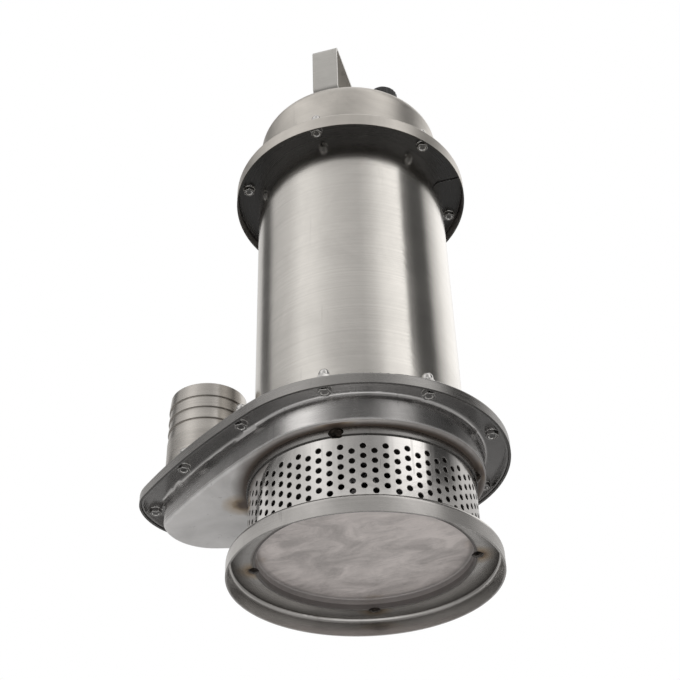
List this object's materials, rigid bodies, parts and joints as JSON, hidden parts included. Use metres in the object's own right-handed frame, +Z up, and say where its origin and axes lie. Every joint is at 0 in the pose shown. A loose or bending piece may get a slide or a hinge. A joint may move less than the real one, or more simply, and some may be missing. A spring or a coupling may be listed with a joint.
{
  "type": "submersible pump",
  "caption": "Upright stainless pump: round motor housing on a teardrop volute with a barbed side outlet, a perforated inlet strainer, a round foot and a strip carrying handle.",
  "frame": {"origin": "on the shaft's axis, level with the foot's lower edge", "axes": "+Z up along the shaft, the outlet stands on the -X side, the handle's strip runs nearly along Y"},
  "size_m": [0.3455, 0.2608, 0.5716],
  "materials": {
    "foot_steel": "brushed stainless sheet",
    "pan_steel": "matte, mottled stainless sheet",
    "screen_steel": "bright stainless sheet with punched holes",
    "weld": "weld metal with brown heat tint",
    "bowl_steel": "drawn stainless sheet",
    "cover_steel": "drawn stainless sheet",
    "gasket_rubber": "flat black rubber",
    "bolt_steel": "bright stainless fasteners",
    "outlet_steel": "brushed round the axis",
    "shell_steel": "brushed round the axis",
    "flange_steel": "machined flat",
    "cap_steel": "satin drawn sheet",
    "handle_steel": "brushed strip",
    "gland_plastic": "black moulded plastic",
    "seal_rubber": "black rubber",
    "casting": "machined aluminium casting",
    "plate_steel": "turned steel",
    "ceramic": "white ceramic ring",
    "carbon": "lapped carbon ring",
    "spring_steel": "spring wire",
    "bearing_steel": "ground and polished steel",
    "cage_brass": "pressed brass",
    "core_steel": "stacked electrical sheet",
    "copper": "varnished copper winding",
    "rotor_aluminium": "cast aluminium",
    "shaft_steel": "ground steel",
    "impeller_iron": "cast iron",
    "capacitor_plastic": "pale plastic case",
    "block_plastic": "dark moulded plastic"
  },
  "bodies": {
    "pump": {"base_ring": "foot_steel", "bottom_pan": "pan_steel", "base_tack_welds": "weld", "strainer_screen": "screen_steel", "screen_tack_welds": "weld", "inlet_collar": "cover_steel", "volute_bowl": "bowl_steel", "volute_gasket": "gasket_rubber", "volute_cover": "cover_steel", "flange_bolts": "bolt_steel", "flange_washers": "bolt_steel", "flange_nuts": "bolt_steel", "outlet_foot": "outlet_steel", "outlet_hose_tail": "outlet_steel", "motor_shell": "shell_steel", "shell_flange": "flange_steel", "cap_gasket": "gasket_rubber", "top_cap": "cap_steel", "cap_bolts": "bolt_steel", "cap_washers": "bolt_steel", "cap_nuts": "bolt_steel", "carry_handle": "handle_steel", "handle_bolts": "bolt_steel", "handle_washers": "bolt_steel", "handle_nuts": "bolt_steel", "gland_body": "gland_plastic", "gland_nut": "gland_plastic", "gland_seal": "seal_rubber", "gland_locknut": "gland_plastic", "oil_chamber": "casting", "chamber_oring": "seal_rubber", "seal_plate": "plate_steel", "seal_seat_ring": "ceramic", "oil_lip_seal": "seal_rubber", "lower_bearing_outer_race": "bearing_steel", "upper_bearing_outer_race": "bearing_steel", "upper_bearing_bracket": "casting", "stator_core": "core_steel", "stator_windings": "copper", "thermal_protector": "block_plastic", "run_capacitor": "capacitor_plastic", "capacitor_clip": "plate_steel", "terminal_block": "block_plastic"},
    "rotor": {"shaft": "shaft_steel", "rotor_core": "core_steel", "rotor_cage": "rotor_aluminium", "lower_bearing_inner_race": "bearing_steel", "upper_bearing_inner_race": "bearing_steel", "seal_head": "carbon", "seal_spring": "spring_steel", "seal_collar": "plate_steel", "impeller": "impeller_iron", "impeller_key": "shaft_steel", "impeller_washer": "shaft_steel", "impeller_nut": "shaft_steel"},
    "lower_ball_set": {"lower_bearing_balls": "bearing_steel", "lower_bearing_cage": "cage_brass"},
    "upper_ball_set": {"upper_bearing_balls": "bearing_steel", "upper_bearing_cage": "cage_brass"}
  },
  "joints": [
    {"name": "rotor_spin", "type": "hinge", "parent": "pump", "child": "rotor", "pos_m": [0, 0, 0.293], "axis": [0, 0, 1], "continuous": true},
    {"name": "lower_balls_spin", "type": "hinge", "parent": "pump", "child": "lower_ball_set", "pos_m": [0, 0, 0.1833], "axis": [0, 0, 1], "continuous": true},
    {"name": "upper_balls_spin", "type": "hinge", "parent": "pump", "child": "upper_ball_set", "pos_m": [0, 0, 0.389], "axis": [0, 0, 1], "continuous": true}
  ],
  "couplings": [
    {"joint": "lower_balls_spin", "follows": "rotor_spin", "ratio": 0.39688},
    {"joint": "upper_balls_spin", "follows": "rotor_spin", "ratio": 0.38149}
  ]
}
